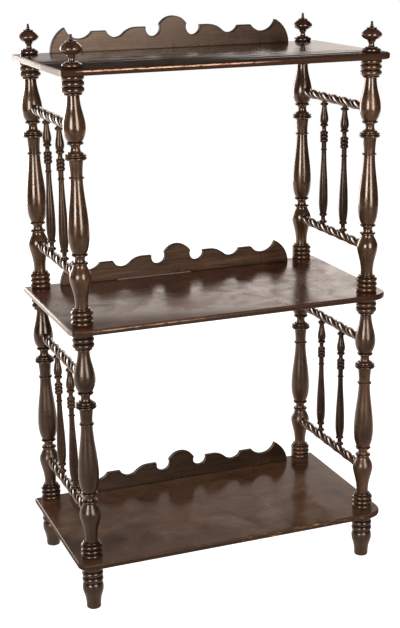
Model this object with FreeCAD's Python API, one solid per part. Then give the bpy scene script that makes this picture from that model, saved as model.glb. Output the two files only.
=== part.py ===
import FreeCAD, Part
import math
import os

# Three-tier etagere in turned, stained wood.  Millimetres, +Z up, front towards -Y.
# Origin: middle of the footprint, on the floor.

# ---------------------------------------------------------------- driving dimensions

# the stack of shelves
bay_height = 515.0            # top of one shelf to top of the next
shelf_thick = 12.5
finial_height = 63.5
post_spacing_x = 647.0        # between post axes, left to right
post_spacing_y = 331.5        # between post axes, front to back

# shelf boards
side_overhang = 36.8          # post axis to board edge
front_overhang = 44.5
back_overhang = 12.0
left_corner_radius = 26.0     # front corners, in plan, shaped by hand and not quite alike
right_corner_radius = 42.0
back_corner_radius = 3.0
nose_radius = 3.6             # rounding of the front and side edges

# galleries, the scalloped boards at the back
gallery_thick = 12.0
gallery_set_forward = 10.0    # middle plane of the board, in front of the back posts
gallery_end_gap = 20.7        # rings of the back posts to the end of the board
gallery_end_radius = 59.5     # quarter-round at each end
gallery_tip_inset = 32.5      # end of the board to the pointed tip beside it
scallop_radius = 35.0         # hollow between the tip and the hump
hump_inset = 93.7             # end of the board to the near side of the hump
hump_height = 43.5
scallop_floor = 28.5          # lowest point of the hollows
ogee_hollow_radius = 24.0     # hollow between the hump and the crest
ogee_hollow_x = 133.0
crest_x = 84.0                # outer end of the flat crest beside each notch
crest_height = 48.3
notch_radius = 17.3           # round bite either side of the dome
notch_x = 47.0
notch_floor = 27.0
dome_radius = 36.7
dome_height = 69.7

# posts
ring_dia = 45.6               # rings that bear on the shelves
ring_bite = 8.2               # their grooves, off the diameter
cap_ring_dia = 36.8           # smaller ring that ends each stack of rings
cap_ring_bite = 5.2
belly_dia = 44.8              # where the rails enter
shaft_belly_dia = 43.8        # long vase between the rails
flange_dia = 44.6
flange_bite = 11.4
collar_dia = 34.4
collar_bite = 6.8
band_bite = 4.6               # thin ring above the long vase, off the diameter
throat_dia = 20.4
throat_flare = 3.0            # throats widen by this towards their ends
neck_dia = 24.8
neck_flare = 2.4
shaft_dia = 25.2
shaft_swell = 4.2             # widening of the plain cylinder up to the flange
foot_ring_height = 10.5       # rings standing on a shelf
head_ring_height = 11.7       # rings under a shelf
cap_ring_height = 4.8
rings_per_stack = 3

# heights of the turned elements of a post, from the lower shelf up
bulb_taper = 62.3             # cap ring to the belly of the bulb
bulb_shoulder = 27.4          # belly of the bulb to the collar above
collar_height = 5.8
throat_height = 11.8
shaft_shoulder = 40.6         # collar to the belly of the long vase
band_height = 4.4
plain_height = 32.4           # tapered cylinder between the thin ring and the flange
flange_ring_height = 7.2
flange_upper_height = 4.9
flange_cushion_height = 4.4
upper_throat_height = 14.2
upper_shoulder = 26.9         # collar to the belly of the upper vase
upper_taper = 63.1            # belly of the upper vase to the cap ring

# joints between the turned pieces
spigot_dia = 13.0
spigot_depth = 22.0           # length of a spigot inside the piece below the shelf
rail_tenon_dia = 10.0
rail_tenon_length = 12.0
spindle_tenon_dia = 6.0
spindle_tenon_length = 7.0
dowel_dia = 6.0
dowel_length = 22.0
dowel_in_shelf = 8.0
dowel_spacing = 210.0
dowels_per_gallery = 3
fit_clearance = 0.1           # on the radius, between a round tenon and its hole
end_clearance = 0.4           # beyond the end of a tenon
scribe_gap = 0.15             # between a rail's shoulder and the post it is scribed to

# rope-twist rails
rope_dia = 21.6
rope_groove_dia = 13.4        # across the bottom of the grooves
rope_bead_dia = 19.8          # across the small beads that lie between the strands
rope_strands = 2
rope_strand_share = 0.78      # of the way round, the beads take the rest
rope_lead = 100.0             # length of one full turn of a strand
stations_per_turn = 16

# spindles between the rails
spindle_spacing = 100.0
spindle_ring_dia = 18.6
spindle_ring_bite = 3.6
spindle_belly_dia = 20.8
spindle_vase_dia = 19.2
spindle_shaft_dia = 11.6
spindle_throat_dia = 9.8
spindle_throat_flare = 1.4
spindle_band_dia = 15.2
spindle_ring_height = 5.6
spindle_cluster_pitch = 8.4
spindle_cluster = 3
spindle_cap_height = 2.6
spindle_throat = 11.0
spindle_shoulder = 29.0       # lower ring to the belly
spindle_band_height = 3.8
spindle_plain = 15.0
spindle_vase_shoulder = 10.5
spindle_vase_taper = 31.5

# finials
finial_base_dia = 39.4
finial_base_height = 8.6
finial_base_bite = 6.0
finial_collar_dia = 27.4
finial_collar_height = 2.8
finial_groove_bite = 3.0      # collar, cup and ridge down to their grooves, off the diameter
finial_neck_dia = 11.6
finial_neck_flare = 3.4
finial_neck_height = 10.2
finial_cup_dia = 18.0
finial_cup_height = 2.6
finial_ball_dia = 43.2
finial_ball_rise = 11.6       # cup to the widest part of the ball
finial_ball_fall = 12.6       # widest part to the ridge
finial_ball_swell = 4.0       # fullness of the flanks at the cup and at the ridge
finial_ridge_dia = 22.8
finial_ridge_height = 2.4
finial_cap_height = 2.6
finial_nipple_dia = 6.6
finial_arris = 1.6            # easing of the nipple, off the diameter

# feet
foot_toe_dia = 31.0
foot_toe_height = 3.0
foot_toe_bite = 3.0
foot_taper = 45.0             # toe to belly
foot_belly_dia = 45.4
foot_shoulder = 13.5          # belly to the groove under the rings
foot_stack_ring_height = 13.0
foot_band_height = 5.5
foot_band_dia = 37.6

# ---------------------------------------------------------------- derived places

post_height = bay_height - shelf_thick
foot_height = (foot_toe_height + foot_taper + foot_shoulder
               + rings_per_stack * foot_stack_ring_height + foot_band_height)
shelf_tops = [foot_height + shelf_thick + level * bay_height for level in range(3)]
shelf_length = post_spacing_x + 2 * side_overhang
spread_back = max(back_overhang, ring_dia / 2)
post_front_y = (front_overhang - spread_back - post_spacing_y) / 2
post_back_y = post_front_y + post_spacing_y
front_edge_y = post_front_y - front_overhang
back_edge_y = post_back_y + back_overhang
gallery_y = post_back_y - gallery_set_forward
gallery_half_length = (post_spacing_x - ring_dia) / 2 - gallery_end_gap
lower_rail_z = (rings_per_stack * foot_ring_height + cap_ring_height + bulb_taper)
upper_rail_z = (post_height - rings_per_stack * head_ring_height - cap_ring_height
                - upper_taper)
tiers = ["bottom", "middle", "top"]
bays = ["lower", "upper"]
sides = {"left": -post_spacing_x / 2, "right": post_spacing_x / 2}
rows = {"front": post_front_y, "back": post_back_y}


# ---------------------------------------------------------------- turning

class Turning:
    """Half outline of a lathe-turned piece, drawn upwards from its lower end."""

    def __init__(self, z, dia, grow=0.0):
        self.grow = grow
        self.z = z
        self.r = dia / 2 + grow
        self.edges = [self.segment(0.0, self.z, self.r, self.z)]

    @staticmethod
    def point(r, z):
        return FreeCAD.Vector(r, 0, z)

    def segment(self, r0, z0, r1, z1):
        return Part.LineSegment(self.point(r0, z0), self.point(r1, z1)).toShape()

    def step(self, dia):
        """Square shoulder to another diameter."""
        return self.taper(dia, 0.0)

    def taper(self, dia, height):
        """Straight side, plain or conical."""
        r1, z1 = dia / 2 + self.grow, self.z + height
        if abs(r1 - self.r) + abs(height) > 1e-6:
            self.edges.append(self.segment(self.r, self.z, r1, z1))
        self.r, self.z = r1, z1
        return self

    def curve(self, dia, height, leave=0.5, arrive=0.5, flare_out=0.0, flare_in=0.0):
        """Flowing side.  It leaves and arrives upright, or leaning by a flare."""
        r1, z1 = dia / 2 + self.grow, self.z + height
        poles = [
            self.point(self.r, self.z),
            self.point(self.r + flare_out, self.z + leave * height),
            self.point(r1 + flare_in, z1 - arrive * height),
            self.point(r1, z1),
        ]
        side = Part.BezierCurve()
        side.setPoles(poles)
        self.edges.append(side.toShape())
        self.r, self.z = r1, z1
        return self

    def round(self, middle_dia, height, dia=None, lean=0.2):
        """Bead or cove through its fullest or thinnest diameter, plump or pointed by its lean."""
        r1 = self.r if dia is None else dia / 2 + self.grow
        fullest = middle_dia / 2 + self.grow
        handle = (8 * fullest - self.r - r1) / 6
        return self.curve(2 * (r1 - self.grow), height, lean, lean, handle - self.r, handle - r1)

    def bead(self, dia, height, bite):
        """Ring of its own, standing out from grooves on both sides."""
        return self.step(dia - bite).round(dia, height)

    def rings(self, count, dia, height, bite):
        """Stack of beads with V grooves between them."""
        for _ in range(count):
            self.bead(dia, height, bite)
        return self

    def solid(self):
        """Closes the outline on the axis and turns it."""
        self.edges.append(self.segment(self.r, self.z, 0.0, self.z))
        self.edges.append(self.segment(0.0, self.z, 0.0, self.edges[0].Vertexes[0].Z))
        face = Part.Face(Part.Wire(self.edges))
        axis = FreeCAD.Vector(0, 0, 1)
        return face.revolve(FreeCAD.Vector(0, 0, 0), axis, 360)


def rod(dia, length, base, direction=(0, 0, 1)):
    """Round rod, tenon or drill, from a base point along a direction."""
    return Part.makeCylinder(dia / 2, length, FreeCAD.Vector(*base),
                             FreeCAD.Vector(*direction))


def spigot():
    """Spigot below a turned piece: through the shelf and into the piece below."""
    length = shelf_thick + spigot_depth
    return rod(spigot_dia, length, (0, 0, -length))


def spigot_hole(z, depth):
    return rod(spigot_dia + 2 * fit_clearance, depth, (0, 0, z))


# ---------------------------------------------------------------- posts

def post_body(grow=0.0):
    """Turned body of a post, from the shelf it stands on to the shelf it carries."""
    stack = rings_per_stack * foot_ring_height + cap_ring_height
    flange_height = flange_ring_height + flange_upper_height + flange_cushion_height
    shaft_top = (upper_rail_z - upper_shoulder - collar_height - upper_throat_height
                 - flange_height - plain_height - band_height)
    shaft_belly_z = (stack + bulb_taper + bulb_shoulder + 2 * collar_height
                     + throat_height + shaft_shoulder)
    collar_root = collar_dia - collar_bite
    throat_end = throat_dia + throat_flare
    t = Turning(0.0, ring_dia - ring_bite, grow)

    # stack of rings on the shelf, then the bulb that takes the lower rail
    t.rings(rings_per_stack, ring_dia, foot_ring_height, ring_bite)
    t.bead(cap_ring_dia, cap_ring_height, cap_ring_bite)
    t.step(neck_dia + neck_flare)
    t.curve(belly_dia, bulb_taper, leave=0.42, arrive=0.22, flare_out=-2.6)
    t.curve(collar_root, bulb_shoulder, leave=0.5, arrive=0.25, flare_in=-0.5)

    # collar, throat, collar
    t.round(collar_dia, collar_height)
    t.step(throat_end).round(throat_dia, throat_height)
    t.bead(collar_dia, collar_height, collar_bite)

    # long vase and the thin ring above it
    t.curve(shaft_belly_dia, shaft_shoulder, leave=0.1, arrive=0.55, flare_out=3.6)
    t.curve(shaft_dia, shaft_top - shaft_belly_z, leave=0.36, arrive=0.3)
    t.bead(shaft_dia + shaft_swell + band_bite / 2, band_height, band_bite)
    t.step(shaft_dia)

    # tapered cylinder, flange of two rings and a cushion, throat
    t.curve(shaft_dia + shaft_swell, plain_height, leave=0.5, arrive=0.2)
    t.step(flange_dia - flange_bite)
    t.round(flange_dia, flange_ring_height, flange_dia - flange_bite / 2)
    t.round(flange_dia - flange_bite / 8, flange_upper_height, flange_dia - flange_bite)
    t.curve(throat_end, flange_cushion_height, leave=0.4, arrive=0.1, flare_in=3.6)
    t.round(throat_dia - throat_flare / 3, upper_throat_height)

    # upper vase, which takes the upper rail, and the rings under the shelf
    t.bead(collar_dia, collar_height, collar_bite)
    t.curve(belly_dia, upper_shoulder, leave=0.12, arrive=0.5, flare_out=3.5)
    t.curve(neck_dia, upper_taper, leave=0.34, arrive=0.42)
    t.bead(cap_ring_dia, cap_ring_height, cap_ring_bite)
    t.rings(rings_per_stack, ring_dia, head_ring_height, ring_bite)
    return t.solid()


def post():
    """Front post: spigot below, socket above, rail sockets in its back."""
    body = post_body().fuse(spigot())
    body = body.cut(spigot_hole(post_height - spigot_depth - end_clearance,
                                spigot_depth + 2 * end_clearance))
    reach = rail_tenon_length + end_clearance
    for z in (lower_rail_z, upper_rail_z):
        body = body.cut(rod(rail_tenon_dia + 2 * fit_clearance, belly_dia,
                            (0, belly_dia / 2 - reach, z), (0, 1, 0)))
    return body.removeSplitter()


# ---------------------------------------------------------------- feet and finials

def foot():
    t = Turning(0.0, foot_toe_dia - foot_toe_bite)
    t.curve(foot_toe_dia, foot_toe_height, leave=0.1, arrive=0.6, flare_out=1.0)
    t.curve(foot_belly_dia, foot_taper, leave=0.62, arrive=0.3)
    t.curve(ring_dia - ring_bite, foot_shoulder, leave=0.6, arrive=0.2, flare_in=2.4)
    t.rings(rings_per_stack, ring_dia, foot_stack_ring_height, ring_bite)
    t.step(foot_band_dia).taper(foot_band_dia, foot_band_height)
    reach = spigot_depth + end_clearance
    return t.solid().cut(spigot_hole(foot_height - reach, reach + end_clearance))


def finial():
    # base bead and the collar on it
    t = Turning(0.0, finial_base_dia - finial_base_bite)
    t.round(finial_base_dia, finial_base_height)
    t.bead(finial_collar_dia, finial_collar_height, finial_groove_bite)

    # hollow neck and the cup that holds the ball
    t.step(finial_neck_dia + finial_neck_flare).round(finial_neck_dia, finial_neck_height)
    t.bead(finial_cup_dia, finial_cup_height, finial_groove_bite)

    # flattened ball, round at its widest
    t.curve(finial_ball_dia, finial_ball_rise, leave=0.12, arrive=0.5,
            flare_out=finial_ball_swell)
    t.curve(finial_ridge_dia - finial_groove_bite, finial_ball_fall, leave=0.45, arrive=0.16,
            flare_in=finial_ball_swell)

    # ridge, hollow cap and nipple
    t.round(finial_ridge_dia, finial_ridge_height)
    t.curve(finial_nipple_dia, finial_cap_height, leave=0.12, arrive=0.35,
            flare_out=-3.6, flare_in=1.0)
    nipple = finial_height - t.z
    t.curve(finial_nipple_dia - finial_arris, 0.75 * nipple, leave=0.3, arrive=0.3)
    t.curve(finial_arris / 2, 0.25 * nipple, leave=0.6, arrive=0.0, flare_in=1.8)
    return t.solid().fuse(spigot()).removeSplitter()


# ---------------------------------------------------------------- rope-twist rails

def rope_section(y, turn):
    """Section of the rope square to its axis: strands and beads in turn, sharp grooves between."""
    def arc(crest_dia, middle, width):
        points = []
        for dia, angle in ((rope_groove_dia, middle - width / 2), (crest_dia, middle),
                           (rope_groove_dia, middle + width / 2)):
            points.append(FreeCAD.Vector(dia / 2 * math.sin(angle), y, dia / 2 * math.cos(angle)))
        return Part.Arc(*points).toShape()

    step = 2 * math.pi / rope_strands
    arcs = []
    for strand in range(rope_strands):
        crest = turn + strand * step
        arcs.append(arc(rope_dia, crest, step * rope_strand_share))
        arcs.append(arc(rope_bead_dia, crest + step / 2, step * (1 - rope_strand_share)))
    return Part.Wire(arcs)


def rope(length):
    """Right-handed rope about the Y axis, lofted through sections that turn with it."""
    count = math.ceil(length / rope_lead * stations_per_turn)
    sections = []
    for i in range(count + 1):
        y = length * (i / count - 0.5)
        sections.append(rope_section(y, 2 * math.pi * y / rope_lead))
    return Part.makeLoft(sections, True, False)


def rail(z, spindles_above):
    """Rail at height z of a post, along Y, with its middle over the origin."""
    body = rope(post_spacing_y - neck_dia)
    scribe = post_body(scribe_gap)
    for end in (-1, 1):
        scribe.Placement.Base = FreeCAD.Vector(0, end * post_spacing_y / 2, -z)
        body = body.cut(scribe)
    tenons = rod(rail_tenon_dia, post_spacing_y - belly_dia + 2 * rail_tenon_length,
                 (0, -(post_spacing_y - belly_dia) / 2 - rail_tenon_length, 0), (0, 1, 0))
    body = body.fuse(tenons)
    depth = spindle_tenon_length + end_clearance
    up = 1 if spindles_above else -1
    for end in (-1, 1):
        seat = (0, end * spindle_spacing / 2, up * (rope_dia / 2 - depth))
        body = body.cut(rod(spindle_tenon_dia + 2 * fit_clearance, rope_dia, seat, (0, 0, up)))
    return body


# ---------------------------------------------------------------- spindles

def spindle():
    """Spindle standing on the crest of the lower rail, between the two rails."""
    length = upper_rail_z - lower_rail_z - rope_dia
    below = 2 * spindle_ring_height + spindle_throat + spindle_shoulder
    above = (spindle_band_height + spindle_plain + spindle_cluster * spindle_cluster_pitch
             + spindle_throat + spindle_ring_height + spindle_vase_shoulder
             + spindle_vase_taper + spindle_ring_height + spindle_cap_height)
    root = spindle_ring_dia - spindle_ring_bite
    throat_end = spindle_throat_dia + spindle_throat_flare

    # ring on the rail, throat, ring and long vase
    t = Turning(0.0, root)
    t.round(spindle_ring_dia, spindle_ring_height)
    t.step(throat_end).round(spindle_throat_dia, spindle_throat)
    t.bead(spindle_ring_dia, spindle_ring_height, spindle_ring_bite)
    t.curve(spindle_belly_dia, spindle_shoulder, leave=0.2, arrive=0.5, flare_out=1.0)
    t.curve(spindle_shaft_dia, length - below - above, leave=0.4, arrive=0.3)

    # thin band, plain part, cluster of rings, throat
    t.bead(spindle_band_dia, spindle_band_height, spindle_ring_bite)
    t.step(spindle_shaft_dia).taper(spindle_shaft_dia, spindle_plain)
    t.rings(spindle_cluster, spindle_ring_dia, spindle_cluster_pitch, spindle_ring_bite)
    t.step(throat_end).round(spindle_throat_dia, spindle_throat)

    # ring, small vase, ring and cap under the rail
    t.bead(spindle_ring_dia, spindle_ring_height, spindle_ring_bite)
    t.step(spindle_shaft_dia + spindle_throat_flare)
    t.curve(spindle_vase_dia, spindle_vase_shoulder, leave=0.15, arrive=0.5, flare_out=1.2)
    t.curve(throat_end, spindle_vase_taper, leave=0.3, arrive=0.4)
    t.bead(spindle_ring_dia, spindle_ring_height, spindle_ring_bite)
    t.step(spindle_shaft_dia).taper(spindle_shaft_dia, spindle_cap_height)
    tenons = rod(spindle_tenon_dia, length + 2 * spindle_tenon_length,
                 (0, 0, -spindle_tenon_length))
    return t.solid().fuse(tenons).removeSplitter()


# ---------------------------------------------------------------- shelves and galleries

def dowel_places():
    """Dowels of a gallery, evenly spaced about the middle."""
    first = -(dowels_per_gallery - 1) / 2
    return [(first + i) * dowel_spacing for i in range(dowels_per_gallery)]


def shelf_outline():
    """Plan of a shelf: round front corners, nearly square back ones."""
    x = shelf_length / 2
    corners = [
        (-x, front_edge_y, left_corner_radius, -1, -1),
        (x, front_edge_y, right_corner_radius, 1, -1),
        (x, back_edge_y, back_corner_radius, 1, 1),
        (-x, back_edge_y, back_corner_radius, -1, 1),
    ]
    arcs = []
    for cx, cy, r, sx, sy in corners:
        centre = FreeCAD.Vector(cx - sx * r, cy - sy * r, 0)
        ends = [FreeCAD.Vector(centre.x + sx * r, centre.y, 0),
                FreeCAD.Vector(centre.x, centre.y + sy * r, 0)]
        if sx == sy:
            ends.reverse()
        diagonal = FreeCAD.Vector(sx, sy, 0) * (r / math.sqrt(2))
        arcs.append(Part.Arc(ends[1], centre + diagonal, ends[0]))
    edges = []
    for arc, following in zip(arcs, arcs[1:] + arcs[:1]):
        edges.append(arc.toShape())
        edges.append(Part.LineSegment(arc.EndPoint, following.StartPoint).toShape())
    return Part.Wire(edges)


def shelf():
    """Board with a rounded nose at the front and sides, lying on z = 0."""
    board = Part.Face(shelf_outline()).extrude(FreeCAD.Vector(0, 0, shelf_thick))
    back = back_edge_y - back_corner_radius
    nosed = []
    for edge in board.Edges:
        level = edge.BoundBox.ZLength < 1e-6
        if level and edge.CenterOfMass.y < back - 1e-6:
            nosed.append(edge)
    board = board.makeFillet(nose_radius, nosed)
    for x in sides.values():
        for y in rows.values():
            hole = spigot_hole(-end_clearance, shelf_thick + 2 * end_clearance)
            hole.translate(FreeCAD.Vector(x, y, 0))
            board = board.cut(hole)
    for x in dowel_places():
        board = board.cut(dowel_hole(x, shelf_thick - dowel_in_shelf - end_clearance,
                                     shelf_thick))
    return board


def dowel_hole(x, bottom, height):
    return rod(dowel_dia + 2 * fit_clearance, height, (x, gallery_y, bottom))


def circle_meeting(hollow, hollow_radius, crown):
    """Radius of the arch with a given crown that flows into a round hollow."""
    run = hollow.x - crown.x
    rise = hollow.z - crown.z
    return (run ** 2 + rise ** 2 - hollow_radius ** 2) / (2 * (hollow_radius - rise))


def gallery_half():
    """Right half of the gallery outline, from the crown of the dome to the foot."""
    def at(x, z):
        return FreeCAD.Vector(x, 0, z)

    def on(cx, cz, r, angle):
        return at(cx + r * math.cos(angle), cz + r * math.sin(angle))

    def arc_between(start, middle, end):
        return Part.Arc(start, middle, end).toShape()

    def lean(centre, point):
        return math.atan2(point.z - centre.z, point.x - centre.x)

    # dome and the round notch beside it
    dome = at(0, dome_height - dome_radius)
    notch = at(notch_x, notch_floor + notch_radius)
    apart = math.hypot(notch.x - dome.x, notch.z - dome.z)
    along = (apart ** 2 + dome_radius ** 2 - notch_radius ** 2) / (2 * apart)
    away = math.sqrt(dome_radius ** 2 - along ** 2)
    towards = lean(dome, notch)
    horn = on(dome.x, dome.z, dome_radius, towards + math.atan2(away, along))
    edges = [arc_between(at(0, dome_height),
                         on(dome.x, dome.z, dome_radius, (lean(dome, horn) + math.pi / 2) / 2),
                         horn)]
    notch_out = at(notch.x + math.sqrt(notch_radius ** 2 - (crest_height - notch.z) ** 2),
                   crest_height)
    edges.append(arc_between(horn, at(notch.x, notch_floor), notch_out))

    # flat crest, then an ogee down into the hollow and up to the hump
    crest = at(crest_x, crest_height)
    edges.append(Part.LineSegment(notch_out, crest).toShape())
    hollow = at(ogee_hollow_x, scallop_floor + ogee_hollow_radius)
    arch_radius = circle_meeting(hollow, ogee_hollow_radius, crest)
    arch = at(crest.x, crest.z - arch_radius)
    flow = lean(arch, hollow)
    flow_point = on(arch.x, arch.z, arch_radius, flow)
    edges.append(arc_between(crest,
                             on(arch.x, arch.z, arch_radius, (flow + math.pi / 2) / 2),
                             flow_point))
    hump_inner = at(hollow.x + math.sqrt(ogee_hollow_radius ** 2
                                         - (hump_height - hollow.z) ** 2), hump_height)
    edges.append(arc_between(flow_point, at(hollow.x, scallop_floor), hump_inner))

    # flat hump, hollow, pointed tip and quarter-round end
    hump_outer = at(gallery_half_length - hump_inset, hump_height)
    edges.append(Part.LineSegment(hump_inner, hump_outer).toShape())
    drop = hump_height - scallop_floor
    scallop_x = hump_outer.x + math.sqrt(scallop_radius ** 2 - (scallop_radius - drop) ** 2)
    end = at(gallery_half_length - gallery_end_radius, 0)
    back = gallery_end_radius - gallery_tip_inset
    tip = at(end.x + back, math.sqrt(gallery_end_radius ** 2 - back ** 2))
    edges.append(arc_between(hump_outer, at(scallop_x, scallop_floor), tip))
    edges.append(arc_between(tip, on(end.x, end.z, gallery_end_radius, lean(end, tip) / 2),
                             at(gallery_half_length, 0)))
    return edges


def gallery():
    """Scalloped board standing on z = 0, its middle plane at y = 0."""
    half = gallery_half()
    mirrored = [e.mirror(FreeCAD.Vector(0, 0, 0), FreeCAD.Vector(1, 0, 0)) for e in half]
    foot_line = Part.LineSegment(FreeCAD.Vector(-gallery_half_length, 0, 0),
                                 FreeCAD.Vector(gallery_half_length, 0, 0)).toShape()
    outline = Part.Wire(Part.__sortEdges__(half + mirrored + [foot_line]))
    board = Part.Face(outline).extrude(FreeCAD.Vector(0, gallery_thick, 0))
    board.translate(FreeCAD.Vector(0, gallery_y - gallery_thick / 2, 0))
    depth = dowel_length - dowel_in_shelf + end_clearance
    for x in dowel_places():
        board = board.cut(dowel_hole(x, -end_clearance, depth + end_clearance))
    return board


def gallery_dowels():
    """Dowels that hold a gallery, half in the shelf, about the shelf's top."""
    pegs = [rod(dowel_dia, dowel_length, (x, gallery_y, -dowel_in_shelf))
            for x in dowel_places()]
    return Part.makeCompound(pegs)


# ---------------------------------------------------------------- assembly

def save(name, shape, x=0.0, y=0.0, z=0.0, half_turn=False):
    placed = shape.copy()
    if half_turn:
        placed.rotate(FreeCAD.Vector(0, 0, 0), FreeCAD.Vector(0, 0, 1), 180)
    placed.translate(FreeCAD.Vector(x, y, z))
    placed.exportStep("parts/" + name + ".step")


def main():
    os.makedirs("parts", exist_ok=True)
    board = shelf()
    back_board = gallery()
    pegs = gallery_dowels()
    for tier, top in zip(tiers, shelf_tops):
        save("shelf_" + tier, board, z=top - shelf_thick)
        save("gallery_" + tier, back_board, z=top)
        save("gallery_dowels_" + tier, pegs, z=top)

    column = post()
    toe = foot()
    knob = finial()
    for side, x in sides.items():
        for row, y in rows.items():
            corner = "_" + row + "_" + side
            save("foot" + corner, toe, x, y)
            save("finial" + corner, knob, x, y, shelf_tops[-1])
            for bay, top in zip(bays, shelf_tops):
                save("post_" + bay + corner, column, x, y, top, half_turn=row == "back")

    middle_y = (post_front_y + post_back_y) / 2
    low_rail = rail(lower_rail_z, spindles_above=True)
    high_rail = rail(upper_rail_z, spindles_above=False)
    baluster = spindle()
    for side, x in sides.items():
        for bay, top in zip(bays, shelf_tops):
            name = "_" + bay + "_" + side
            save("rail_low" + name, low_rail, x, middle_y, top + lower_rail_z)
            save("rail_high" + name, high_rail, x, middle_y, top + upper_rail_z)
            for row, end in (("front", -1), ("back", 1)):
                save("spindle_" + row + name, baluster, x,
                     middle_y + end * spindle_spacing / 2, top + lower_rail_z + rope_dia / 2)


main()
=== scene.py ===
import math

import bpy
from mathutils import Matrix, Vector


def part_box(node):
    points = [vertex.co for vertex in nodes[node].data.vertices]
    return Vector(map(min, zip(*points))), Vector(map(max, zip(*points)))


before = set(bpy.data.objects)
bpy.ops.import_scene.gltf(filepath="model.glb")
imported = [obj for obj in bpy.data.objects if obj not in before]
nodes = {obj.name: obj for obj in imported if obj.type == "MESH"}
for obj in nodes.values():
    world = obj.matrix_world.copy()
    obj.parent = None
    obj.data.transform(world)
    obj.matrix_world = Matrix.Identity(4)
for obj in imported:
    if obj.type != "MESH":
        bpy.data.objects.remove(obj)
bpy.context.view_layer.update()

# ---------------------------------------------------------------------------
# Posts and feet.  Beech turned on the lathe, stained dark brown and French polished while it
# spins, so the polish is thick and even.  Spigots hold them through the shelves.


def linear(hex_colour, alpha=1.0):
    """An sRGB hex colour as the linear values that a shader takes."""
    channels = []
    for place in (1, 3, 5):
        value = int(hex_colour[place:place + 2], 16) / 255
        if value <= 0.04045:
            channels.append(value / 12.92)
        else:
            channels.append(((value + 0.055) / 1.055) ** 2.4)
    return (*channels, alpha)


def add(material, kind, inputs=None, **settings):
    """Adds a node.  An input is a value, or another node's output to link to it."""
    tree = material.node_tree
    node = tree.nodes.new(kind)
    for name, value in settings.items():
        setattr(node, name, value)
    for name, value in (inputs or {}).items():
        if isinstance(value, bpy.types.NodeSocket):
            tree.links.new(value, node.inputs[name])
        else:
            node.inputs[name].default_value = value
    return node


def polished_wood(name, grain_axis, dark, mid, light, roughness, fibre_mm=1.2, patch_mm=60,
                  unevenness=0.5, contrast=0.2, relief=0.01, shine=0.5, coat=0.7,
                  tint="#ffe8d6", quirks=True):
    """Stained wood under polish.  The grain runs along one axis of the piece."""
    material = bpy.data.materials.new(name)
    material.use_nodes = True
    material.node_tree.nodes.clear()
    place = add(material, "ShaderNodeTexCoord").outputs["Object"]

    # fibres, drawn out along the grain, and wider bands of them
    fibre_stretch = 30
    band_width = 14
    across = 1000 / fibre_mm
    scale = [across, across, across]
    scale["XYZ".index(grain_axis)] = across / fibre_stretch
    fibres = add(material, "ShaderNodeMapping", {"Vector": place, "Scale": scale})
    grain = add(material, "ShaderNodeTexNoise",
                {"Vector": fibres.outputs["Vector"], "Scale": 1.0, "Detail": 3.0,
                 "Roughness": 0.6, "Distortion": 0.3})
    figure = add(material, "ShaderNodeMapping",
                 {"Vector": place, "Scale": [s / band_width for s in scale]})
    bands = add(material, "ShaderNodeTexNoise",
                {"Vector": figure.outputs["Vector"], "Scale": 1.0, "Detail": 4.0,
                 "Roughness": 0.55, "Distortion": 0.8})

    # stain that took unevenly, in patches
    patches = add(material, "ShaderNodeTexNoise",
                  {"Vector": place, "Scale": 1000 / patch_mm, "Detail": 5.0, "Roughness": 0.65,
                   "Distortion": 0.6})
    tone = add(material, "ShaderNodeMix",
               {"Factor": unevenness, "A": bands.outputs["Fac"], "B": patches.outputs["Fac"]})
    lower = add(material, "ShaderNodeMapRange",
                {"Value": tone.outputs["Result"], "From Min": 0.36, "From Max": 0.52})
    upper = add(material, "ShaderNodeMapRange",
                {"Value": tone.outputs["Result"], "From Min": 0.52, "From Max": 0.66})
    stain = add(material, "ShaderNodeMix",
                {"Factor": lower.outputs["Result"], "A": linear(dark), "B": linear(mid)},
                data_type="RGBA")
    stain = add(material, "ShaderNodeMix",
                {"Factor": upper.outputs["Result"], "A": stain.outputs["Result"],
                 "B": linear(light)}, data_type="RGBA")
    streaks = add(material, "ShaderNodeMapRange",
                  {"Value": grain.outputs["Fac"], "From Min": 0.35, "From Max": 0.62,
                   "To Min": 0.9 - contrast, "To Max": 0.9 + contrast})
    colour = add(material, "ShaderNodeMix",
                 {"Factor": 1.0, "A": stain.outputs["Result"], "B": streaks.outputs["Result"]},
                 data_type="RGBA", blend_type="MULTIPLY")
    if quirks:
        # painted shade: the colour is darkened in the quirks between the beads by ambient
        # occlusion, for the shade there and the dark wax that lies in them
        open_to_air = add(material, "ShaderNodeAmbientOcclusion", {"Distance": 0.006},
                          samples=6, only_local=True)
        wax_and_quirk_shade = add(material, "ShaderNodeMapRange",
                   {"Value": open_to_air.outputs["AO"], "From Min": 0.35, "From Max": 0.85,
                    "To Min": 0.2, "To Max": 1.0})
        colour = add(material, "ShaderNodeMix",
                     {"Factor": 1.0, "A": colour.outputs["Result"], "B": wax_and_quirk_shade.outputs["Result"]},
                     data_type="RGBA", blend_type="MULTIPLY")

    # the polish is nearly smooth, and duller in patches where hands and dusters have been
    duller = 0.6 * unevenness
    gloss = add(material, "ShaderNodeMapRange",
                {"Value": patches.outputs["Fac"], "From Min": 0.35, "From Max": 0.65,
                 "To Min": roughness * (1 - duller), "To Max": roughness * (1 + duller)})
    bump = add(material, "ShaderNodeBump",
               {"Height": grain.outputs["Fac"], "Strength": relief, "Distance": 0.0002})
    surface = add(material, "ShaderNodeBsdfPrincipled",
                  {"Base Color": colour.outputs["Result"], "Roughness": gloss.outputs["Result"],
                   "Normal": bump.outputs["Normal"], "IOR": 1.5, "Specular IOR Level": shine,
                   "Specular Tint": linear(tint), "Coat Weight": coat,
                   "Coat Roughness": 0.1, "Coat IOR": 1.5})
    add(material, "ShaderNodeOutputMaterial", {"Surface": surface.outputs["BSDF"]})
    return material


def finish_nodes(material, *beginnings):
    """Puts a finish on every CAD piece whose name starts so."""
    for name, piece in nodes.items():
        if name.startswith(beginnings):
            for holder in piece.material_slots:
                holder.material = material
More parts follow.
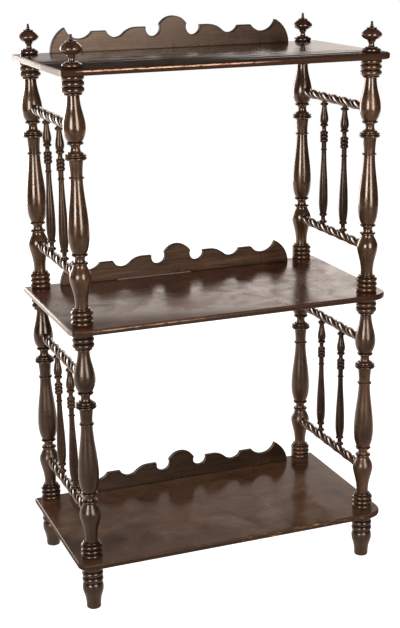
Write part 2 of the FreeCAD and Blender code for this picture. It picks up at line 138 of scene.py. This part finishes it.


# French polish over a lathe-smooth surface: long narrow streaks of light down each swelling, and
# quirks painted black as shade
turned = polished_wood("beech_turned_french_polished", "Z", "#24170e", "#3b281a", "#543824",
                       0.24, coat=0.5)
finish_nodes(turned, "post_upper")

# nearer the floor the polish has worn thin: broad soft light.  The left pair get darker colours,
# painted shade that holds back the strong left softbox; the feet take the same
for side, dark, mid, light in (("left", "#1a110b", "#291b12", "#3a271b"),
                               ("right", "#251810", "#3a271b", "#523826")):
    turned_low = polished_wood("beech_turned_polish_worn_" + side, "Z", dark, mid, light, 0.3,
                               coat=0.2)
    finish_nodes(turned_low, "post_lower_front_" + side, "post_lower_back_" + side)
    if side == "left":
        finish_nodes(turned_low, "foot_")

# ---------------------------------------------------------------------------
# Finials.  Beech balls turned with a thin tip and stained with the posts.  A spigot goes down
# through the top shelf into the post.

# the thickest polish of all, a small bright dot on every ball
knob = polished_wood("beech_turned_finial_polished", "Z", "#21140d", "#37231a", "#503325", 0.28,
                     coat=1.0)

# the thin tips are made nearly black above a line about a centimetre below the top, and their coat
# and specular fade to a fifth there
tip_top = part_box("finial_front_left")[1][2]
tip_range = {"From Min": tip_top - 0.011, "From Max": tip_top - 0.009}
polish_left = 0.2
above = add(knob, "ShaderNodeTexCoord").outputs["Object"]
above = add(knob, "ShaderNodeSeparateXYZ", {"Vector": above})
surface = knob.node_tree.nodes["Principled BSDF"]
for name, value in (("Coat Weight", 1.0), ("Specular IOR Level", 0.5)):
    fading = add(knob, "ShaderNodeMapRange",
                 {"Value": above.outputs["Z"], "To Min": value, "To Max": value * polish_left,
                  **tip_range})
    knob.node_tree.links.new(fading.outputs["Result"], surface.inputs[name])
marked = add(knob, "ShaderNodeMapRange", {"Value": above.outputs["Z"], **tip_range})
colour = add(knob, "ShaderNodeMix",
             {"Factor": marked.outputs["Result"],
              "A": surface.inputs["Base Color"].links[0].from_socket, "B": linear("#1c1210")},
             data_type="RGBA")
knob.node_tree.links.new(colour.outputs["Result"], surface.inputs["Base Color"])
finish_nodes(knob, "finial_")

# ---------------------------------------------------------------------------
# Rope-twist rails.  Beech carved into two strands with a bead between them, stained and
# polished like the posts.  A round tenon at each end sits in a socket in the post.

# carved with a gouge and polished over: every strand takes one slanting highlight
rope = polished_wood("beech_carved_polished", "Y", "#28180e", "#3e2717", "#553720", 0.25,
                     quirks=False)
finish_nodes(rope, "rail_")

# ---------------------------------------------------------------------------
# Spindles.  Slim beech turnings between the rails of each side frame, stained and polished
# before they went in, held by a tenon at each end.

# stained dark and polished thin: darker than the posts, with a fainter streak
slim = polished_wood("beech_turned_thin_polish", "Z", "#1b110b", "#2c1d14", "#402b1d", 0.26,
                     shine=0.3, coat=0.12)
finish_nodes(slim, "spindle_")

# ---------------------------------------------------------------------------
# Shelves.  Pine boards with a rounded nose, stained to match and polished until they mirror what
# stands on them.  The stain is rubbed through on the front edges, and the top board has a painted
# highlight along its nose.


def edge_of(material, axis, stain, roughness):
    """Gives the sawn edges, which don't face the axis, a colour and a dullness of their own."""
    surface = material.node_tree.nodes["Principled BSDF"]
    facing = add(material, "ShaderNodeNewGeometry").outputs["Normal"]
    facing = add(material, "ShaderNodeSeparateXYZ", {"Vector": facing})
    facing = add(material, "ShaderNodeMath", {0: facing.outputs[axis]}, operation="ABSOLUTE")
    face = add(material, "ShaderNodeMapRange",
               {"Value": facing.outputs[0], "From Min": 0.3, "From Max": 0.9})
    colour = add(material, "ShaderNodeMix",
                 {"Factor": face.outputs["Result"], "A": linear(stain),
                  "B": surface.inputs["Base Color"].links[0].from_socket}, data_type="RGBA")
    gloss = add(material, "ShaderNodeMix",
                {"Factor": face.outputs["Result"], "A": roughness,
                 "B": surface.inputs["Roughness"].links[0].from_socket})
    material.node_tree.links.new(colour.outputs["Result"], surface.inputs["Base Color"])
    material.node_tree.links.new(gloss.outputs["Result"], surface.inputs["Roughness"])


# Each board has its own stain and wear.  The dull strip and the painted shade along the front fade
# out between two places in Y; the reach in X, in metres, of the line along the nose is given per
# board.
shelf_looks = {
    "bottom": {"stain": ("#4d3324", "#624633", "#705641"), "edge": "#26170f",
               "edge_roughness": 0.6,
               "roughness": 0.19, "contrast": 0.06, "tint": "#ffe8d6",
               "strip": (-0.2, -0.08), "dullness": 0.25, "streaks": 0.0, "front_painted_shade": 0.72,
               "end_reflection_amount": 0.0, "bare": "#a8703f", "nose_line_span": (0.02, 0.26),
               "nose_line_depth": 0.008, "nose_line_height": 0.005, "nose_line_from": 0.56},
    "middle": {"stain": ("#391f16", "#5a3829", "#724836"), "edge": "#26170f",
               "edge_roughness": 0.28,
               "roughness": 0.22, "contrast": 0.16, "tint": "#ffe8d6",
               "strip": (-0.22, -0.1), "dullness": 0.42, "streaks": 0.0, "front_painted_shade": 1.0,
               "end_reflection_amount": 0.5, "bare": "#a08570", "nose_line_span": (-0.30, -0.14),
               "nose_line_depth": 0.004, "nose_line_height": 0.0008, "nose_line_from": 0.40},
    # on the top board the nose line's colour is a painted highlight, not bare pine
    "top": {"stain": ("#2c1911", "#43291c", "#573727"), "edge": "#3a2318",
            "edge_roughness": 0.5,
            "roughness": 0.14, "contrast": 0.1, "tint": "#fff8f4",
            "strip": (-0.15, 0.01), "dullness": 0.85, "streaks": 0.38, "front_painted_shade": 0.7,
            "end_reflection_amount": 0.92, "bare": "#c9a58a", "nose_line_span": (-0.31, 0.0),
            "nose_line_depth": 0.004, "nose_line_height": 0.0013, "nose_line_from": 0.40}}
strip_slant = 0.2
nose_middle = 0.004
for tier, look in shelf_looks.items():
    # sawn, planed and polished flat: a blurred mirror with the grain showing through it
    pine = polished_wood("pine_planed_polished_" + tier, "X", *look["stain"],
                         look["roughness"], fibre_mm=2.5, patch_mm=70, unevenness=0.75,
                         contrast=look["contrast"], relief=0.06, coat=0.0, tint=look["tint"],
                         quirks=False)
    edge_of(pine, "Z", look["edge"], look["edge_roughness"])
    low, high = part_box("shelf_" + tier)
    place = add(pine, "ShaderNodeTexCoord").outputs["Object"]
    split = add(pine, "ShaderNodeSeparateXYZ", {"Vector": place})
    surface = pine.node_tree.nodes["Principled BSDF"]

    # the polish has worn off in a strip along the front, which runs wider to the left; it is
    # widest on the top one, where wiping has left it streaky and only the back is a mirror
    slanted = add(pine, "ShaderNodeMath",
                  {0: split.outputs["X"], 1: strip_slant, 2: split.outputs["Y"]},
                  operation="MULTIPLY_ADD")
    wiped = add(pine, "ShaderNodeMapping", {"Vector": place, "Scale": (4, 60, 60)})
    wiped = add(pine, "ShaderNodeTexNoise",
                {"Vector": wiped.outputs["Vector"], "Scale": 1.0, "Detail": 3.0})
    slanted = add(pine, "ShaderNodeMath",
                  {0: wiped.outputs["Fac"], 1: look["streaks"], 2: slanted.outputs[0]},
                  operation="MULTIPLY_ADD")
    fade = {"From Min": look["strip"][0] + look["streaks"] / 2,
            "From Max": look["strip"][1] + look["streaks"] / 2}
    strip = add(pine, "ShaderNodeMapRange",
                {"Value": slanted.outputs[0], "To Min": look["dullness"], "To Max": 0.0, **fade})
    polish = add(pine, "ShaderNodeMapRange",
                 {"Value": strip.outputs["Result"], "To Min": 0.4, "To Max": 0.1})
    pine.node_tree.links.new(polish.outputs["Result"], surface.inputs["Specular IOR Level"])
    dull = add(pine, "ShaderNodeMath",
               {0: strip.outputs["Result"], 1: surface.inputs["Roughness"].links[0].from_socket},
               operation="MAXIMUM")
    pine.node_tree.links.new(dull.outputs[0], surface.inputs["Roughness"])
    # painted shade: the colour is darkened towards the front of the board, over the same fade as
    # the dull strip
    darker = add(pine, "ShaderNodeMapRange",
                 {"Value": slanted.outputs[0], "To Min": look["front_painted_shade"], "To Max": 1.0,
                  **fade})
    darker = add(pine, "ShaderNodeMix",
                 {"Factor": 1.0, "A": surface.inputs["Base Color"].links[0].from_socket,
                  "B": darker.outputs["Result"]}, data_type="RGBA", blend_type="MULTIPLY")
    pine.node_tree.links.new(darker.outputs["Result"], surface.inputs["Base Color"])

    # a ragged line along the nose: bare pine where it has been knocked and rubbed, and on the top
    # board a painted highlight on the rounded nose
    first, last = look["nose_line_span"]
    depth = look["nose_line_depth"]
    nose = add(pine, "ShaderNodeMapRange",
               {"Value": split.outputs["Y"], "From Min": low[1] + depth / 2,
                "From Max": low[1] + depth, "To Min": 1.0, "To Max": 0.0})
    band = add(pine, "ShaderNodeMath",
               {0: split.outputs["Z"], 1: high[2] - nose_middle, 2: look["nose_line_height"]},
               operation="COMPARE")
    begin = add(pine, "ShaderNodeMapRange",
                {"Value": split.outputs["X"], "From Min": first - 0.02, "From Max": first})
    end = add(pine, "ShaderNodeMapRange",
              {"Value": split.outputs["X"], "From Min": last, "From Max": last + 0.1,
               "To Min": 1.0, "To Max": 0.0})
    stretched = add(pine, "ShaderNodeMapping", {"Vector": place, "Scale": (45, 300, 300)})
    ragged = add(pine, "ShaderNodeTexNoise",
                 {"Vector": stretched.outputs["Vector"], "Scale": 1.0, "Detail": 4.0,
                  "Roughness": 0.7})
    ragged = add(pine, "ShaderNodeMapRange",
                 {"Value": ragged.outputs["Fac"], "From Min": look["nose_line_from"],
                  "From Max": look["nose_line_from"] + 0.12})
    marked = add(pine, "ShaderNodeMath", {0: nose.outputs["Result"], 1: band.outputs[0]},
               operation="MULTIPLY")
    for part in (begin, end, ragged):
        marked = add(pine, "ShaderNodeMath", {0: marked.outputs[0], 1: part.outputs["Result"]},
                   operation="MULTIPLY")
    colour = add(pine, "ShaderNodeMix",
                 {"Factor": marked.outputs[0],
                  "A": surface.inputs["Base Color"].links[0].from_socket,
                  "B": linear(look["bare"])}, data_type="RGBA")

    # painted reflection: the nose at the left end is painted a pale grey-white, where the bright
    # backdrop behind would mirror in it
    end_reflection = add(pine, "ShaderNodeMapRange",
                 {"Value": split.outputs["X"], "From Min": low[0] + 0.004,
                  "From Max": low[0] + 0.006, "To Min": look["end_reflection_amount"], "To Max": 0.0})
    colour = add(pine, "ShaderNodeMix",
                 {"Factor": end_reflection.outputs["Result"], "A": colour.outputs["Result"],
                  "B": linear("#c4bab7")}, data_type="RGBA")
    pine.node_tree.links.new(colour.outputs["Result"], surface.inputs["Base Color"])
    finish_nodes(pine, "shelf_" + tier)

# ---------------------------------------------------------------------------
# Galleries.  Fretted out of thin pine with a hand saw, stained, and polished less than the
# shelves, so the grain stands up.  Dowels hold them to the shelf.

# the three take colours for the light each gets: the bottom gallery is painted darker, as shade
# under the middle shelf
for tier, dark, mid, light, edge, shine in (
        ("bottom", "#1c130d", "#261a12", "#302218", "#463526", 0.2),
        ("middle", "#35261b", "#402e23", "#4b372a", "#4a392d", 0.15),
        ("top", "#342418", "#3d2b1d", "#473225", "#120c08", 0.4)):
    # planed but hardly filled: a dull sheen, broken up by the open grain
    fretted = polished_wood("pine_fretted_thin_polish_" + tier, "X", dark, mid, light, 0.28,
                            fibre_mm=2.5, unevenness=0.2, contrast=0.45, relief=0.25,
                            shine=shine, coat=0.0, quirks=False)

    # painted shade: the colour is darkened along the sawn outline and in the joint at the foot,
    # found by ambient occlusion from inside; the same mask cuts the sheen
    inward = add(fretted, "ShaderNodeAmbientOcclusion", {"Distance": 0.0035}, samples=8,
                 inside=True, only_local=True)
    rim_shade = add(fretted, "ShaderNodeMapRange",
              {"Value": inward.outputs["AO"], "From Min": 0.55, "From Max": 0.95,
               "To Min": 0.15, "To Max": 1.0})
    surface = fretted.node_tree.nodes["Principled BSDF"]
    colour = add(fretted, "ShaderNodeMix",
                 {"Factor": 1.0, "A": surface.inputs["Base Color"].links[0].from_socket,
                  "B": rim_shade.outputs["Result"]}, data_type="RGBA", blend_type="MULTIPLY")
    sheen = add(fretted, "ShaderNodeMath", {0: rim_shade.outputs["Result"], 1: shine},
                operation="MULTIPLY")
    fretted.node_tree.links.new(sheen.outputs[0], surface.inputs["Specular IOR Level"])
    if tier == "middle":
        # a line of old glue at the foot of the middle one, left of centre
        glue_middle, glue_reach = -0.058, 0.089
        foot_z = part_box("gallery_middle")[0][2]
        split = add(fretted, "ShaderNodeTexCoord").outputs["Object"]
        split = add(fretted, "ShaderNodeSeparateXYZ", {"Vector": split})
        foot = add(fretted, "ShaderNodeMapRange",
                   {"Value": split.outputs["Z"], "From Min": foot_z + 0.001,
                    "From Max": foot_z + 0.0016, "To Min": 0.6, "To Max": 0.0})
        glued = add(fretted, "ShaderNodeMath",
                    {0: split.outputs["X"], 1: glue_middle, 2: glue_reach},
                    operation="COMPARE")
        glued = add(fretted, "ShaderNodeMath", {0: glued.outputs[0], 1: foot.outputs["Result"]},
                    operation="MULTIPLY")
        colour = add(fretted, "ShaderNodeMix",
                     {"Factor": glued.outputs[0], "A": colour.outputs["Result"],
                      "B": linear("#a08f80")}, data_type="RGBA")
    fretted.node_tree.links.new(colour.outputs["Result"], surface.inputs["Base Color"])
    edge_of(fretted, "Y", edge, 0.6)
    finish_nodes(fretted, "gallery_" + tier)

# ---------------------------------------------------------------------------
# Dowels under the galleries.  Plain beech, glued in bare and hidden once the gallery is on.

# bought dowel rod, never stained or polished: pale and quite dull
peg = polished_wood("beech_dowel_bare", "Z", "#a8865c", "#bf9c70", "#cfae84", 0.6, coat=0.0,
                    quirks=False)
finish_nodes(peg, "gallery_dowels_")

# ---------------------------------------------------------------------------
# Floor, light and camera.  White paper runs under the piece and up behind it; two tall
# softboxes stand in front and a third lights the left side from behind.


def grey(value):
    return (value, value, value, 1.0)


bpy.ops.mesh.primitive_plane_add(size=1)
floor = bpy.context.object
floor.name = "floor"
floor_size = 8.0
floor_middle = (0, 1.4, 0)
floor.data.transform(Matrix.Translation(floor_middle)
                     @ Matrix.Diagonal((floor_size, floor_size, 1.0, 1.0)))
# roll of matt paper: even white to the eye and a soft shadow under the feet; the polish sees
# it fall dark towards the camera, so only the back of each shelf mirrors white
paper = bpy.data.materials.new("paper_roll_matt_white")
paper.use_nodes = True
paper.node_tree.nodes.clear()
path = add(paper, "ShaderNodeLightPath")
where = add(paper, "ShaderNodeTexCoord").outputs["Object"]
where = add(paper, "ShaderNodeSeparateXYZ", {"Vector": where})
behind = add(paper, "ShaderNodeMapRange",
             {"Value": where.outputs["Y"], "From Min": -0.6, "From Max": 0.5,
              "To Min": 0.05, "To Max": 1.1})
mirrored = add(paper, "ShaderNodeMath",
               {0: path.outputs["Is Glossy Ray"], 1: behind.outputs["Result"]},
               operation="MULTIPLY")
floor_glow = 0.92    # the lamps on the paper make up the rest of white
seen = add(paper, "ShaderNodeMath",
           {0: path.outputs["Is Camera Ray"], 1: floor_glow, 2: mirrored.outputs[0]},
           operation="MULTIPLY_ADD")
white = add(paper, "ShaderNodeMix",
            {"Factor": path.outputs["Is Glossy Ray"], "A": grey(0.8), "B": grey(0.35)},
            data_type="RGBA")
diffuse = add(paper, "ShaderNodeBsdfDiffuse", {"Color": white.outputs["Result"]})
amber = add(paper, "ShaderNodeMix",
            {"Factor": path.outputs["Is Glossy Ray"], "A": grey(1.0), "B": linear("#ffede2")},
            data_type="RGBA")
glow = add(paper, "ShaderNodeEmission",
           {"Color": amber.outputs["Result"], "Strength": seen.outputs[0]})
lit = add(paper, "ShaderNodeAddShader", {0: glow.outputs[0], 1: diffuse.outputs[0]})
add(paper, "ShaderNodeOutputMaterial", {"Surface": lit.outputs[0]})
floor.data.materials.append(paper)

world = bpy.data.worlds.new("studio")
bpy.context.scene.world = world
world.use_nodes = True
world.node_tree.nodes.clear()
path = add(world, "ShaderNodeLightPath")
direction = add(world, "ShaderNodeTexCoord").outputs["Generated"]
split = add(world, "ShaderNodeSeparateXYZ", {"Vector": direction})
# the backdrop is plain white to the eye; the polish mirrors it only behind the piece, to the
# right and not high up, and fainter right at the horizon
behind = add(world, "ShaderNodeMapRange",
             {"Value": split.outputs["Y"], "From Min": 0.1, "From Max": 0.45})
end = add(world, "ShaderNodeMapRange",
          {"Value": split.outputs["X"], "From Min": 0.62, "From Max": 0.85,
           "To Min": 1.0, "To Max": 0.0})
height = add(world, "ShaderNodeMapRange",
             {"Value": split.outputs["Z"], "From Min": 0.25, "From Max": 0.46,
              "To Min": 2.42, "To Max": 0.05})
sideways = add(world, "ShaderNodeMapRange",
               {"Value": split.outputs["X"], "From Min": 0.2, "From Max": 0.46,
                "To Min": 0.42, "To Max": 1.13})
horizon = add(world, "ShaderNodeMapRange",
              {"Value": split.outputs["Z"], "From Min": 0.05, "From Max": 0.22,
               "To Min": 0.2, "To Max": 1.0})
backdrop = add(world, "ShaderNodeMath", {0: behind.outputs["Result"], 1: end.outputs["Result"]},
               operation="MULTIPLY")
for part in (horizon, sideways):
    backdrop = add(world, "ShaderNodeMath", {0: backdrop.outputs[0], 1: part.outputs["Result"]},
                   operation="MULTIPLY")
backdrop = add(world, "ShaderNodeMath",
               {0: backdrop.outputs[0], 1: height.outputs["Result"], 2: 0.04},
               operation="MULTIPLY_ADD")
strength = add(world, "ShaderNodeMix",
               {"Factor": path.outputs["Is Glossy Ray"], "A": 0.15, "B": backdrop.outputs[0]})
strength = add(world, "ShaderNodeMix",
               {"Factor": path.outputs["Is Camera Ray"], "A": strength.outputs["Result"], "B": 1.0})
amber = add(world, "ShaderNodeMix",
            {"Factor": path.outputs["Is Glossy Ray"], "A": grey(1.0), "B": linear("#fff3ea")},
            data_type="RGBA")
sky = add(world, "ShaderNodeBackground",
          {"Color": amber.outputs["Result"], "Strength": strength.outputs["Result"]})
add(world, "ShaderNodeOutputWorld", {"Surface": sky.outputs["Background"]})


def softbox(name, place, aim, width, height, power):
    """Flat lamp with a diffuser, turned towards a point."""
    lamp = bpy.data.lights.new(name, "AREA")
    lamp.shape = "RECTANGLE"
    lamp.size = width
    lamp.size_y = height
    lamp.energy = power
    lamp.color = linear("#fff6ee")[:3]
    lamp_object = bpy.data.objects.new(name, lamp)
    bpy.context.collection.objects.link(lamp_object)
    lamp_object.location = place
    lamp_object.rotation_euler = (Vector(aim) - Vector(place)).to_track_quat("-Z", "Y").to_euler()


middle = (0.0, 0.0, 0.6)
softbox("softbox_left", (-4.4, -3.8, 1.5), middle, 2.0, 2.4, 285)
softbox("softbox_right", (0.6, -3.3, 1.3), middle, 1.2, 2.0, 100)
softbox("softbox_behind", (-1.0, 3.4, 0.9), middle, 1.9, 1.6, 62)


def camera_at(place, yaw, pitch, roll, lens):
    """Camera by its place and its turns in degrees: yaw to the right, pitch down."""
    yaw, pitch, roll = (math.radians(angle) for angle in (yaw, pitch, roll))
    ahead = Vector((math.sin(yaw) * math.cos(pitch), math.cos(yaw) * math.cos(pitch),
                    -math.sin(pitch)))
    right = Vector((math.cos(yaw), -math.sin(yaw), 0.0))
    up = right.cross(ahead)
    right_rolled = right * math.cos(roll) + up * math.sin(roll)
    up_rolled = up * math.cos(roll) - right * math.sin(roll)
    data = bpy.data.cameras.new("camera")
    data.lens = lens
    camera = bpy.data.objects.new("camera", data)
    bpy.context.collection.objects.link(camera)
    turn = Matrix((right_rolled, up_rolled, -ahead)).transposed()
    camera.matrix_world = Matrix.Translation(place) @ turn.to_4x4()
    bpy.context.scene.camera = camera


camera_at((-1.02029, -2.63179, 1.3979), 21.025, 16.215, -0.881, 75.67)

bpy.context.scene.view_settings.view_transform = "Standard"
